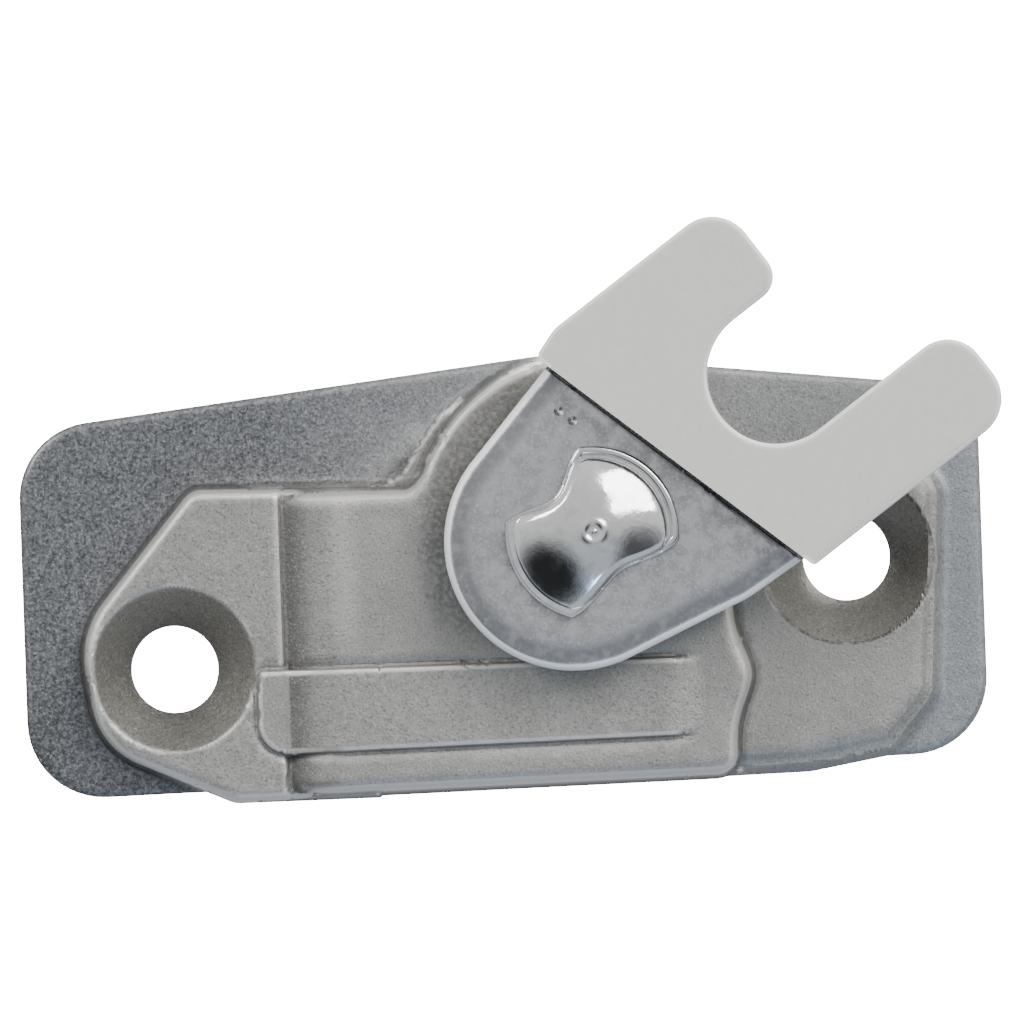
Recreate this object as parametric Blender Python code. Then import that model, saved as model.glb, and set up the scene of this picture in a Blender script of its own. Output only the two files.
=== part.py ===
"""Gate latch body with a forked lever on one side and a turning handle on the other.

All sizes below are millimetres, measured from the spindle's axis: x to the right, z up, y from the
flange's flat back (0) towards the handle (+) and towards the fork (-).
"""
import bpy
import bmesh
from math import acos, atan2, cos, exp, pi, radians, sin, tan
from mathutils import Vector

MM = 0.001
SPINDLE_FROM_ORIGIN = 19.0     # the origin lies on the flange's back, level with the spindle

# Fits
SEAT_GAP = 0.3                 # between faces that rest on each other
RUN_GAP = 0.08                 # radial, a shaft turning in its bore
PRESS_SEAT = 0.1               # all round, a key, screw or pin seated in its hole

# Casting: flange, screw ears, raised middle and its bulge and boss round the spindle
FLANGE_THICK = 2.4
FLANGE_EDGE = 0.5
FLANGE_LEFT = 34.2
FLANGE_RIGHT = 23.35
FLANGE_PEAK = 10.8
FLANGE_SHOULDER_DROP = 3.6     # the left shoulder lies this far under the peak, the right one less
FLANGE_BOTTOM = 14.4
FLANGE_CORNER_R = 4.6
LEFT_EAR_TOP = 5.0
RIGHT_EAR_TOP = 3.6
MIDDLE_TOP = 6.0
MIDDLE_LEFT_FOOT = -18.4
MIDDLE_LEFT_TOP = -15.4
MIDDLE_RIGHT = 8.5
WALL_BULGE = 1.0               # the right wall swells by this much
WALL_BULGE_Z = -8.7
WALL_BULGE_SPREAD = 2.2
BODY_TOP_Z = 3.4
BODY_BOTTOM_Z = -15.35
BODY_BACK = 0.6                # the raised part starts this far in front of the flange's back
EDGE_ROUND = 0.8
BULGE_R = 11.0                 # the middle swells round the spindle
BULGE_ROUND = 0.8
BULGE_CUT = 9.6                # towards the fork's mouth it ends this far out
BOSS_R = 7.0                   # raised seat under the fork's washer
BOSS_TOP = 7.0
BOSS_ROUND = 0.4
PAD_RISE = 0.4
PAD_LEFT = -20.4
PAD_RIGHT = 5.7
PAD_TOP_Z = -7.5
PAD_BOTTOM_Z = -12.65

# Screw holes with 82 degree countersinks, for a 5 mm wood screw
SCREW_HOLE_R = 2.6
COUNTERSINK_HALF = radians(41)
LEFT_HOLE = (-25.25, -7.3)
LEFT_SINK_R = 4.96
RIGHT_HOLE = (15.2, -1.95)
RIGHT_SINK_R = 5.2
HEAD_ROOM_R = 6.5              # the bulge is cleared this far round the right hole for the screw's head

# Spindle and the cam on its square
SQUARE = 5.0
JOURNAL_R = SQUARE / 2 * 2 ** 0.5 + 0.46    # stands clear of the square's corners
TENON_R = 3.3
TENON_FLAT = 2.5
FLAT_ANGLE = radians(135)      # direction that the tenon's flats face
HEAD_R = 5.2
HEAD_WAISTS = [                # direction, depth and half the width of each waist
    (radians(134), 2.05, radians(38)), (radians(304), 2.35, radians(51))]
HEAD_RISE = 1.9
PIP_R = 0.55
CAM_THICK = 2.4
CAM_JOURNAL_R = JOURNAL_R + 0.6
TURN = radians(90)
STOP_PIN_R = 0.8
STOP_RING_R = CAM_JOURNAL_R + 1.0
STOP_ANGLE = radians(95)
STOP_SLACK = radians(1.5)
CAM_R = STOP_RING_R + STOP_PIN_R + 1.2
CAM_FLAT = CAM_R - 0.9         # from the axis to either flat

# Cover, its collar and its screws
COVER_THICK = 1.2
COVER_LAP = 0.7                # the cover reaches this far past the chamber and the pocket
REBATE_GAP = 0.25
COLLAR_WALL = 1.6
COLLAR_R = CAM_JOURNAL_R + COLLAR_WALL
COLLAR_OUT = 2.0
COVER_SCREW_R = 1.0
COVER_SCREW_HEAD_R = 1.9
COVER_SCREW_LENGTH = 4.2
CAM_WASHER_THICK = 0.35

# Depths in front of the flange's back, from the cover inwards
CAM_BACK = COVER_THICK + SEAT_GAP + CAM_WASHER_THICK + 0.35
CAM_FRONT = CAM_BACK + CAM_THICK
CHAMBER_ROOF = CAM_FRONT + SEAT_GAP
CHAMBER_R = CAM_R + 0.6

# Leaf spring and its pocket
LEAF_THICK = 0.6
LEAF_WIDE = 2.2
LEAF_BACK = COVER_THICK + 2 * SEAT_GAP
LEAF_FRONT = LEAF_BACK + LEAF_WIDE
LEAF_SLOT_Z = -9.6
POCKET_ROOF = LEAF_FRONT + SEAT_GAP
POCKET_LEFT = -13.7
POCKET_RIGHT = 4.6
POCKET_TOP_Z = -6.4
POCKET_BOTTOM_Z = -12.6
SLOT_LEFT = -18.0
LEAF_FREE = POCKET_LEFT + 1.1    # from here to the cam the leaf is free
COVER_LEFT = SLOT_LEFT - 2.2
COVER_RIGHT = CHAMBER_R + 1.0
COVER_TOP = CHAMBER_R + COVER_LAP
COVER_BOTTOM = POCKET_BOTTOM_Z - 1.2
COVER_CORNERS = [
    (COVER_LEFT, POCKET_TOP_Z, 1.5), (-COVER_TOP - 0.4, COVER_TOP, 5.0), (COVER_RIGHT, COVER_TOP, 3.0),
    (COVER_RIGHT, COVER_BOTTOM, 2.0), (COVER_LEFT, COVER_BOTTOM, 2.0)]
COVER_SCREWS = [
    (-CHAMBER_R - 4.0, -3.9), (COVER_RIGHT - 2.3, COVER_BOTTOM + 2.5), (-CHAMBER_R + 0.7, COVER_TOP - 2.9)]

# Fork: a stamping with its tines raised by a joggle
FORK_THICK = 1.9
FORK_STEP = 2.1
TINE_ANGLE = radians(36)
CREASE_ANGLE = radians(51.2)   # direction in which the sheet steps up
CREASE_AT = 6.37
BASE_CENTRE = (-1.15, -0.46)
BASE_R = 7.7
MOUTH_CENTRE = (14.45, -0.69)  # along the tines, and across them
MOUTH_R = 4.13
LEFT_TINE_OUT = -11.0
LEFT_TIP = 18.2
RIGHT_TINE_OUT = 9.66
RIGHT_TIP = 24.68
WASHER_THICK = 0.6
WASHER_OUT_R = 6.8
FORK_SEAT_Y = BOSS_TOP + WASHER_THICK + SEAT_GAP    # the shoulder that the fork is clamped against

# Handle
THRUST_THICK = 0.4
HANDLE_Y = COLLAR_OUT + THRUST_THICK + 0.2
HANDLE_HUB_R = 6.8
HANDLE_HUB_TOP = HANDLE_Y + 7.2
SPINDLE_END_Y = HANDLE_HUB_TOP - 2.6
HANDLE_REACH = 28.4
HANDLE_TIP_R = 3.3
HANDLE_SCREW_R = 1.5
HANDLE_SCREW_HEAD_R = 2.9
HANDLE_SCREW_HEAD_RISE = 1.4
HANDLE_RECESS = 1.0            # the hub is sunk this deep for the screw's head


# Outlines, as lists of (x, z) ------------------------------------------------------------------

def arc(centre, radius, start, end, steps):
    """Points from angle start to angle end, both included."""
    turns = [start + (end - start) * i / steps for i in range(steps + 1)]
    return [(centre[0] + radius * cos(t), centre[1] + radius * sin(t)) for t in turns]


def circle(radius, steps=48, centre=(0, 0)):
    return arc(centre, radius, 0, 2 * pi * (steps - 1) / steps, steps - 1)


def rounded(corners, steps=5):
    """A closed outline through (x, z, radius) corners; a radius of 0 leaves the corner sharp."""
    points = []
    for i, (x, z, radius) in enumerate(corners):
        if not radius:
            points.append((x, z))
            continue
        here = Vector((x, z))
        before = (Vector(corners[i - 1][:2]) - here).normalized()
        after = (Vector(corners[(i + 1) % len(corners)][:2]) - here).normalized()
        half = before.angle(after) / 2
        centre = here + (before + after).normalized() * radius / sin(half)
        first = here + before * radius / tan(half) - centre
        last = here + after * radius / tan(half) - centre
        start = atan2(first.y, first.x)
        sweep = (atan2(last.y, last.x) - start + pi) % (2 * pi) - pi
        points += arc(centre, radius, start, start + sweep, steps)
    return points


def grown(points, distance):
    """The outline moved outwards by distance along its own normals."""
    area = sum(p[0] * q[1] - q[0] * p[1] for p, q in zip(points, points[1:] + points[:1]))
    side = 1 if area > 0 else -1
    moved = []
    for i, here in enumerate(points):
        before = points[i - 1]
        after = points[(i + 1) % len(points)]
        a = Vector((here[1] - before[1], before[0] - here[0])).normalized() * side
        b = Vector((after[1] - here[1], here[0] - after[0])).normalized() * side
        shift = (a + b) * distance / max(1 + a.dot(b), 0.5)
        moved.append((here[0] + shift.x, here[1] + shift.y))
    return moved


def turned(points, angle):
    return [(x * cos(angle) - z * sin(angle), x * sin(angle) + z * cos(angle)) for x, z in points]


def double_d(radius, flat, angle, steps=12):
    """A circle with two flats, whose normals lie at angle and opposite it."""
    half = pi / 2 - acos(flat / radius)
    sides = arc((0, 0), radius, -half, half, steps)
    sides += arc((0, 0), radius, pi - half, pi + half, steps)
    return turned(sides, angle + pi / 2)


# Solids ----------------------------------------------------------------------------------------

def solid(name, rings):
    """A closed mesh through rings of (x, y, z) points that all have the same number of points."""
    mesh = bpy.data.meshes.new(name)
    work = bmesh.new()
    rows = [[work.verts.new([v * MM for v in point]) for point in ring] for ring in rings]
    for low, high in zip(rows, rows[1:]):
        for i in range(len(low)):
            j = (i + 1) % len(low)
            work.faces.new((low[i], low[j], high[j], high[i]))
    work.faces.new(rows[0])
    work.faces.new(rows[-1])
    bmesh.ops.recalc_face_normals(work, faces=work.faces)
    work.to_mesh(mesh)
    work.free()
    made = bpy.data.objects.new(name, mesh)
    bpy.context.scene.collection.objects.link(made)
    return made


def stack(name, levels):
    """Outlines laid over each other, each given as (outline, y)."""
    return solid(name, [[(x, y, z) for x, z in outline] for outline, y in levels])


def block(name, outline, back, front, edge=0.0, steps=3):
    """An outline from y = back to y = front, with the front edge rounded by edge."""
    if not edge:
        return stack(name, [(outline, back), (outline, front)])
    side = 1 if front > back else -1
    levels = [(outline, back)]
    for i in range(steps + 1):
        t = pi / 2 * i / steps
        levels.append((grown(outline, -edge * (1 - cos(t))), front - side * edge * (1 - sin(t))))
    return stack(name, levels)


def profile(name, points, low, high):
    """An outline in x and y, carried along z from low to high."""
    return solid(name, [[(x, y, low) for x, y in points], [(x, y, high) for x, y in points]])


def combine(target, operation, *tools):
    """Joins, cuts or trims target with each tool in turn; the tools are used up."""
    for tool in tools:
        step = target.modifiers.new("step", "BOOLEAN")
        step.solver = "EXACT"
        step.operation = operation
        step.object = tool
        graph = bpy.context.evaluated_depsgraph_get()
        result = bpy.data.meshes.new_from_object(target.evaluated_get(graph))
        target.modifiers.clear()
        target.data = result
        bpy.data.objects.remove(tool)
    return target


def hole(radius, back, front, centre=(0, 0), steps=32):
    return block("hole", circle(radius, steps, centre), back, front)


def finish(thing, colour, metallic, roughness):
    """Names the mesh, gives it its material, smooth round faces and its place on the spindle."""
    material = bpy.data.materials.new(thing.name)
    material.use_nodes = True
    shader = material.node_tree.nodes["Principled BSDF"]
    shader.inputs["Base Color"].default_value = (*colour, 1)
    shader.inputs["Metallic"].default_value = metallic
    shader.inputs["Roughness"].default_value = roughness
    thing.data.name = thing.name
    thing.data.materials.clear()
    thing.data.materials.append(material)
    thing.data.shade_smooth()
    thing.data.set_sharp_from_angle(angle=radians(32))
    thing.location = (SPINDLE_FROM_ORIGIN * MM, 0, 0)


for old in list(bpy.data.objects):
    bpy.data.objects.remove(old)

# Casting ---------------------------------------------------------------------------------------

shoulder = FLANGE_PEAK - FLANGE_SHOULDER_DROP
flange = rounded([
    (-FLANGE_LEFT, shoulder, FLANGE_CORNER_R), (-2.2, FLANGE_PEAK, 12.0),
    (FLANGE_RIGHT, shoulder + 0.75, FLANGE_CORNER_R - 0.8),
    (FLANGE_RIGHT, -FLANGE_BOTTOM + 0.55, FLANGE_CORNER_R),
    (-FLANGE_LEFT, -FLANGE_BOTTOM - 0.5, FLANGE_CORNER_R)], 8)
lock_body = block("lock_body", flange, 0, -FLANGE_THICK, FLANGE_EDGE)

left_ear = rounded([
    (-31.0, -5.0, 5.4), (-23.95, 3.45, 1.4), (-14.0, 3.3, 0.9), (-14.0, BODY_BOTTOM_Z, 0.9),
    (-21.9, -15.45, 1.5), (-29.9, -11.9, 4.6)], 6)


def middle_outline(left, shrink):
    """Raised middle of the body; its right wall swells, and its top runs into the bulge."""
    wall = []
    for i in range(13):
        z = -3.2 - 9.6 * i / 12
        swell = WALL_BULGE * exp(-((z - WALL_BULGE_Z) / WALL_BULGE_SPREAD) ** 2)
        wall.append((MIDDLE_RIGHT + swell, z, 0))
    outline = rounded([
        (left, BODY_TOP_Z - 0.1, 1.2), (-10.9, BODY_TOP_Z - 0.2, 1.6), (-8.0, 7.0, 0), (4.0, 8.0, 0),
        (MIDDLE_RIGHT, 2.0, 0), *wall, (MIDDLE_RIGHT, -14.95, 1.3), (left, BODY_BOTTOM_Z, 1.3)])
    return grown(outline, -shrink)


middle = stack("middle", [
    (middle_outline(MIDDLE_LEFT_FOOT, 0), -BODY_BACK),
    (middle_outline(MIDDLE_LEFT_FOOT, 0), -(LEFT_EAR_TOP - 0.3)),
    (middle_outline(MIDDLE_LEFT_FOOT + 0.7, 0.1), -(MIDDLE_TOP - 0.8)),
    (middle_outline(MIDDLE_LEFT_TOP - 1.1, 0.4), -(MIDDLE_TOP - 0.3)),
    (middle_outline(MIDDLE_LEFT_TOP - 0.8, 0.8), -MIDDLE_TOP)])

bulge_outline = [
    (x, z) for x, z in circle(BULGE_R, 72) if x * cos(TINE_ANGLE) + z * sin(TINE_ANGLE) < BULGE_CUT]
bulge = block("bulge", bulge_outline, -BODY_BACK, -MIDDLE_TOP, BULGE_ROUND, 4)
combine(bulge, "DIFFERENCE", hole(HEAD_ROOM_R, -RIGHT_EAR_TOP + 0.2, -12, RIGHT_HOLE, 48))
boss = block("boss", circle(BOSS_R, 72), -MIDDLE_TOP + 1, -BOSS_TOP, BOSS_ROUND)


def right_ear(reach):
    return rounded([
        (5.0, 4.2, 0.5), (16.4 + reach, 4.6 + reach, 2.5), (20.0 + reach, 2.2, 2.0),
        (19.2 + reach, -10.4, 2.0), (17.5 + 0.5 * reach, -13.85, 0.8), (12.6, -14.75, 3.0),
        (5.0, -14.9, 0.5)], 5)


ear = stack("ear", [
    (right_ear(1.3), -1.4), (right_ear(1.3), -FLANGE_THICK - 0.05), (right_ear(0.7), -2.75),
    (right_ear(0), -3.35), (grown(right_ear(0), -0.7), -RIGHT_EAR_TOP)])

pad = block("pad", rounded([
    (PAD_LEFT, PAD_TOP_Z, 0.5), (PAD_RIGHT, PAD_TOP_Z, 0.6), (PAD_RIGHT, PAD_BOTTOM_Z + 0.3, 1.4),
    (-18.0, PAD_BOTTOM_Z, 4.0), (PAD_LEFT, PAD_BOTTOM_Z, 1.9)], 5), -3.0, -9.0)
combine(pad, "INTERSECT", profile("pad_height", [
    (PAD_LEFT - 2, -2), (PAD_LEFT - 2, -LEFT_EAR_TOP - PAD_RISE),
    (MIDDLE_LEFT_FOOT + 0.2, -LEFT_EAR_TOP - PAD_RISE), (MIDDLE_LEFT_TOP, -MIDDLE_TOP - PAD_RISE),
    (PAD_RIGHT + 2, -MIDDLE_TOP - PAD_RISE), (PAD_RIGHT + 2, -2)], -20, 0))

combine(
    lock_body, "UNION", block("left_ear", left_ear, -BODY_BACK, -LEFT_EAR_TOP, EDGE_ROUND),
    middle, bulge, boss, ear, pad)

for (x, z), sink_r, top in (
        (LEFT_HOLE, LEFT_SINK_R, LEFT_EAR_TOP), (RIGHT_HOLE, RIGHT_SINK_R, RIGHT_EAR_TOP)):
    depth = (sink_r - SCREW_HOLE_R) / tan(COUNTERSINK_HALF)
    wide = sink_r + tan(COUNTERSINK_HALF)
    combine(
        lock_body, "DIFFERENCE", hole(SCREW_HOLE_R, 1, -top - 1, (x, z), 40),
        stack("sink", [
            (circle(SCREW_HOLE_R - 0.05, 40, (x, z)), -top + depth + 0.05),
            (circle(wide, 40, (x, z)), -top - 1)]))

chamber = hole(CHAMBER_R, 1, -CHAMBER_ROOF, steps=64)
pocket = block("pocket", rounded([
    (POCKET_LEFT, POCKET_TOP_Z, 0.6), (POCKET_RIGHT, POCKET_TOP_Z, 0.6),
    (POCKET_RIGHT, POCKET_BOTTOM_Z, 1.2), (POCKET_LEFT, POCKET_BOTTOM_Z, 1.2)]), 1, -POCKET_ROOF)
slot_top = LEAF_SLOT_Z + LEAF_THICK / 2 + SEAT_GAP
slot_bottom = LEAF_SLOT_Z - LEAF_THICK / 2 - SEAT_GAP
slot = block("slot", rounded([
    (SLOT_LEFT, slot_top, 0.3), (POCKET_LEFT + 0.7, slot_top, 0.3),
    (POCKET_LEFT + 0.7, slot_bottom, 0.3), (SLOT_LEFT, slot_bottom, 0.3)], 2), 1, -POCKET_ROOF)
cover_outline = rounded(COVER_CORNERS)
rebate = block("rebate", grown(cover_outline, REBATE_GAP), 1, -COVER_THICK - SEAT_GAP)
stop_at = (STOP_RING_R * cos(STOP_ANGLE), STOP_RING_R * sin(STOP_ANGLE))
combine(
    lock_body, "DIFFERENCE", rebate, chamber, pocket, slot,
    hole(JOURNAL_R + RUN_GAP, 0, -BOSS_TOP - 1, steps=48),
    hole(STOP_PIN_R + PRESS_SEAT, -CHAMBER_ROOF + 1, -BOSS_TOP + 0.8, stop_at, 16))
for place in COVER_SCREWS:
    combine(lock_body, "DIFFERENCE", hole(COVER_SCREW_R + PRESS_SEAT, 0, -COVER_SCREW_LENGTH - 0.4, place, 16))
finish(lock_body, (0.45, 0.44, 0.42), 0.6, 0.6)

# Cover on the back, with the collar that the cam's journal turns in ------------------------------

back_cover = block("back_cover", cover_outline, -COVER_THICK, 0)
combine(
    back_cover, "UNION", block("collar", circle(COLLAR_R), -COVER_THICK + 0.2, COLLAR_OUT, 0.4))
combine(back_cover, "DIFFERENCE", hole(CAM_JOURNAL_R + RUN_GAP, -3, 4, steps=48))
for place in COVER_SCREWS:
    sink = stack("sink", [
        (circle(COVER_SCREW_R + 0.2, 20, place), -COVER_THICK - 0.5),
        (circle(COVER_SCREW_R + 0.2, 20, place), -COVER_THICK + 0.3),
        (circle(COVER_SCREW_HEAD_R + 0.35, 20, place), 0.05)])
    combine(back_cover, "DIFFERENCE", sink)
finish(back_cover, (0.30, 0.30, 0.31), 0.6, 0.55)

for number, place in enumerate(COVER_SCREWS, 1):
    cover_screw = stack(f"cover_screw_{number}", [
        (circle(COVER_SCREW_R * 0.6, 20, place), -COVER_SCREW_LENGTH),
        (circle(COVER_SCREW_R, 20, place), -COVER_SCREW_LENGTH + 0.5),
        (circle(COVER_SCREW_R, 20, place), -1.0),
        (circle(COVER_SCREW_HEAD_R, 20, place), -0.15),
        (circle(COVER_SCREW_HEAD_R, 20, place), -0.05)])
    for turn in (0, pi / 2):
        bar = rounded([(-1.1, -0.2, 0.05), (1.1, -0.2, 0.05), (1.1, 0.2, 0.05), (-1.1, 0.2, 0.05)], 1)
        bar = [(x + place[0], z + place[1]) for x, z in turned(bar, turn + radians(20 * number))]
        combine(cover_screw, "DIFFERENCE", block("drive", bar, -0.65, 1))
    finish(cover_screw, (0.62, 0.62, 0.62), 0.9, 0.35)

# Spindle: lobed riveted head, keyed tenon, journal and square shank --------------------------------


def head_outline(scale):
    points = []
    for i in range(72):
        angle = 2 * pi * i / 72
        radius = HEAD_R
        for middle_of, depth, spread in HEAD_WAISTS:
            radius -= depth * max(0.0, 1 - ((angle - middle_of) / spread) ** 2)
        radius *= scale
        points.append((radius * cos(angle), radius * sin(angle)))
    return points


head_seat = -(FORK_SEAT_Y + 2 * SEAT_GAP + FORK_THICK)
rise = [(1.0, 0.0), (1.0, 0.25), (0.95, 0.55), (0.82, 0.95), (0.6, 1.4), (0.35, 1.7), (0.16, 1.8)]
head = stack("head", [(head_outline(s), head_seat - h * HEAD_RISE / 1.9) for s, h in rise])
spindle = block("spindle", circle(JOURNAL_R), -CHAMBER_ROOF, -FORK_SEAT_Y)
combine(
    spindle, "UNION",
    block("tenon", double_d(TENON_R, TENON_FLAT, FLAT_ANGLE), -FORK_SEAT_Y + 1, head_seat - 0.5),
    head,
    stack("pip", [
        (circle(PIP_R, 16), head_seat - 1.0), (circle(PIP_R, 16), head_seat - HEAD_RISE + 0.05),
        (circle(PIP_R * 0.5, 16), head_seat - HEAD_RISE - 0.1)]),
    block("square", rounded([
        (-SQUARE / 2, -SQUARE / 2, 0.3), (SQUARE / 2, -SQUARE / 2, 0.3),
        (SQUARE / 2, SQUARE / 2, 0.3), (-SQUARE / 2, SQUARE / 2, 0.3)], 2), -CHAMBER_ROOF - 1, SPINDLE_END_Y))
combine(
    spindle, "DIFFERENCE",
    hole(HANDLE_SCREW_R + PRESS_SEAT, SPINDLE_END_Y + 1, SPINDLE_END_Y - 6.5, steps=20))
finish(spindle, (0.75, 0.75, 0.76), 1.0, 0.2)

# Fork ------------------------------------------------------------------------------------------


def from_tine(along, across):
    return turned([(along, -across)], TINE_ANGLE)[0]


def from_crease(out, along):
    """A point given by its distance out from the spindle and its place along the crease."""
    return turned([(out, -along)], CREASE_ANGLE)[0]


def tine_corner(along, across, radius):
    return (*from_tine(along, across), radius)


left_in = MOUTH_CENTRE[1] - MOUTH_R
right_in = MOUTH_CENTRE[1] + MOUTH_R
mouth = [(*from_tine(along, across), 0) for along, across in
         arc(MOUTH_CENTRE, MOUTH_R, -pi / 2, -3 * pi / 2, 24)]
tines = rounded([
    (*from_crease(CREASE_AT, -9.0), 0.5), tine_corner(5.7, LEFT_TINE_OUT, 2.6),
    tine_corner(LEFT_TIP, LEFT_TINE_OUT, 2.5), tine_corner(LEFT_TIP, left_in, 1.5), *mouth,
    tine_corner(RIGHT_TIP, right_in, 2.3), tine_corner(RIGHT_TIP, RIGHT_TINE_OUT, 2.5),
    (*from_crease(CREASE_AT, 11.75), 0.3)], 6)

upper_left = from_crease(CREASE_AT + 1.6, -8.05)
lower_right = from_crease(CREASE_AT + 1.0, 11.15)
base = arc(BASE_CENTRE, BASE_R, CREASE_ANGLE + pi / 2, radians(293.6), 30)
base += rounded([(6.2, -5.4, 0.2), (9.0, -4.3, 8.0), (*lower_right, 0.2), (0, 0, 0.2)], 4)[5:10]
base += [lower_right, upper_left]

fork_back = -(FORK_SEAT_Y + SEAT_GAP)
fork_front = fork_back - FORK_THICK
fork_lever = block("fork_lever", base, fork_back, fork_front, 0.35, 2)
tine_plate = block("tine_plate", tines, fork_back - FORK_STEP, fork_front - FORK_STEP, 0.25, 2)
ramp = solid("ramp", [
    [(*from_crease(CREASE_AT + out, along), y) for out, y in (
        (-1.3, fork_back), (-0.6, fork_back), (1.5, fork_back - FORK_STEP),
        (1.5, fork_back - FORK_STEP - 0.8), (0.15, fork_front - 0.7), (-1.3, fork_front + 0.6))]
    for along in (-7.6, 10.2)])
for vertex in ramp.data.vertices:
    vertex.co = (vertex.co.x, vertex.co.z, vertex.co.y)
ramp.data.flip_normals()
combine(fork_lever, "UNION", ramp, tine_plate)
combine(fork_lever, "DIFFERENCE", block(
    "key", double_d(TENON_R + PRESS_SEAT, TENON_FLAT + PRESS_SEAT, FLAT_ANGLE), 0, -20))
finish(fork_lever, (0.55, 0.56, 0.57), 0.8, 0.4)

fork_washer = block("fork_washer", circle(WASHER_OUT_R), -BOSS_TOP - 0.25, -BOSS_TOP - 0.25 - WASHER_THICK)
combine(fork_washer, "DIFFERENCE", hole(JOURNAL_R + SEAT_GAP, 0, -12, steps=48))
finish(fork_washer, (0.5, 0.5, 0.5), 0.9, 0.35)

# Cam, its washer, stop pin and leaf spring -----------------------------------------------------

side = (CAM_R ** 2 - CAM_FLAT ** 2) ** 0.5
edge_angle = atan2(side, CAM_FLAT)
cam_outline = arc((0, 0), CAM_R, -pi / 2 + edge_angle, pi - edge_angle, 40)
cam_outline += arc((0, 0), CAM_R, -pi + edge_angle, -pi / 2 - edge_angle, 8)
detent_cam = block("detent_cam", cam_outline, -CAM_BACK, -CAM_FRONT)
slot_start = STOP_ANGLE - TURN - STOP_SLACK
slot_end = STOP_ANGLE + STOP_SLACK
slot_half = STOP_PIN_R + 0.2


def ring_point(angle):
    return (STOP_RING_R * cos(angle), STOP_RING_R * sin(angle))


stop_slot = arc((0, 0), STOP_RING_R + slot_half, slot_start, slot_end, 20)
stop_slot += arc(ring_point(slot_end), slot_half, slot_end, slot_end + pi, 8)[1:-1]
stop_slot += arc((0, 0), STOP_RING_R - slot_half, slot_end, slot_start, 20)
stop_slot += arc(ring_point(slot_start), slot_half, slot_start + pi, slot_start + 2 * pi, 8)[1:-1]
keyhole = SQUARE / 2 + PRESS_SEAT
combine(
    detent_cam, "UNION", hole(CAM_JOURNAL_R, COLLAR_OUT - 0.2, -CAM_BACK - 0.5, steps=48))
combine(
    detent_cam, "DIFFERENCE", block("stop_slot", stop_slot, 0, -8),
    block("keyhole", [(-keyhole, -keyhole), (keyhole, -keyhole), (keyhole, keyhole), (-keyhole, keyhole)], 4, -8))
finish(detent_cam, (0.42, 0.40, 0.36), 0.8, 0.5)

cam_washer = block("cam_washer", circle(CAM_FLAT - 0.3), -CAM_BACK + 0.25, -CAM_BACK + 0.25 + CAM_WASHER_THICK)
combine(cam_washer, "DIFFERENCE", hole(CAM_JOURNAL_R + 0.25, 1, -4, steps=48))
finish(cam_washer, (0.75, 0.73, 0.68), 0.0, 0.5)

stop_pin = block("stop_pin", circle(STOP_PIN_R, 16, stop_at), -CAM_BACK - SEAT_GAP, -BOSS_TOP + 1.0)
finish(stop_pin, (0.6, 0.6, 0.6), 1.0, 0.3)

leaf_line = [(SLOT_LEFT + 0.4, LEAF_SLOT_Z), (LEAF_FREE, LEAF_SLOT_Z)]
rest_z = -CAM_FLAT - SEAT_GAP - LEAF_THICK / 2
for i in range(1, 11):
    t = i / 10
    leaf_line.append((LEAF_FREE * (1 - t) - 4.0 * t, LEAF_SLOT_Z + (rest_z - LEAF_SLOT_Z) * (3 * t * t - 2 * t ** 3)))
leaf_line += [(2.6, rest_z)]
leaf_line += [(2.6 + 1.4 * sin(t * pi / 8), rest_z - 1.4 * (1 - cos(t * pi / 8))) for t in (1, 2, 3)]
upper = []
lower = []
for i, (x, z) in enumerate(leaf_line):
    a = Vector(leaf_line[max(i - 1, 0)])
    b = Vector(leaf_line[min(i + 1, len(leaf_line) - 1)])
    across = (b - a).normalized().orthogonal() * LEAF_THICK / 2
    upper.append((x + across.x, z + across.y))
    lower.append((x - across.x, z - across.y))
detent_spring = block("detent_spring", upper + lower[::-1], -LEAF_BACK, -LEAF_FRONT)
finish(detent_spring, (0.35, 0.36, 0.40), 1.0, 0.3)

# Handle, held on the square by a screw -----------------------------------------------------------

hub = block("handle", circle(HANDLE_HUB_R), HANDLE_Y, HANDLE_HUB_TOP, 1.4, 4)
lean = atan2(HANDLE_HUB_R - 1.6 - HANDLE_TIP_R, HANDLE_REACH)
arm = arc((0, 0), HANDLE_HUB_R - 1.6, -pi / 2 - lean, pi / 2 + lean, 16)
arm += arc((-HANDLE_REACH, 0), HANDLE_TIP_R, pi / 2 + lean, 3 * pi / 2 - lean, 16)
lever = block("lever", arm, 12, HANDLE_Y - 0.5)
sweep = []
for i in range(17):
    x = -HANDLE_REACH - HANDLE_TIP_R - 1 + (HANDLE_REACH + 8) * i / 16
    sweep.append((x, 3.6 + 2.0 * (x / HANDLE_REACH) ** 2))
thick = [(x, y + 4.2 - 1.0 * abs(x / HANDLE_REACH)) for x, y in reversed(sweep)]
combine(lever, "INTERSECT", profile("sweep", sweep + thick, -10, 10))
handle = combine(hub, "UNION", lever)
combine(
    handle, "DIFFERENCE",
    block("socket", [(-keyhole, -keyhole), (keyhole, -keyhole), (keyhole, keyhole), (-keyhole, keyhole)],
          0, SPINDLE_END_Y + SEAT_GAP),
    hole(HANDLE_SCREW_R + 0.2, 0, 12, steps=20),
    hole(HANDLE_SCREW_HEAD_R + SEAT_GAP, HANDLE_HUB_TOP - HANDLE_RECESS, 12, steps=32))
finish(handle, (0.10, 0.10, 0.11), 0.3, 0.5)

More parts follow.
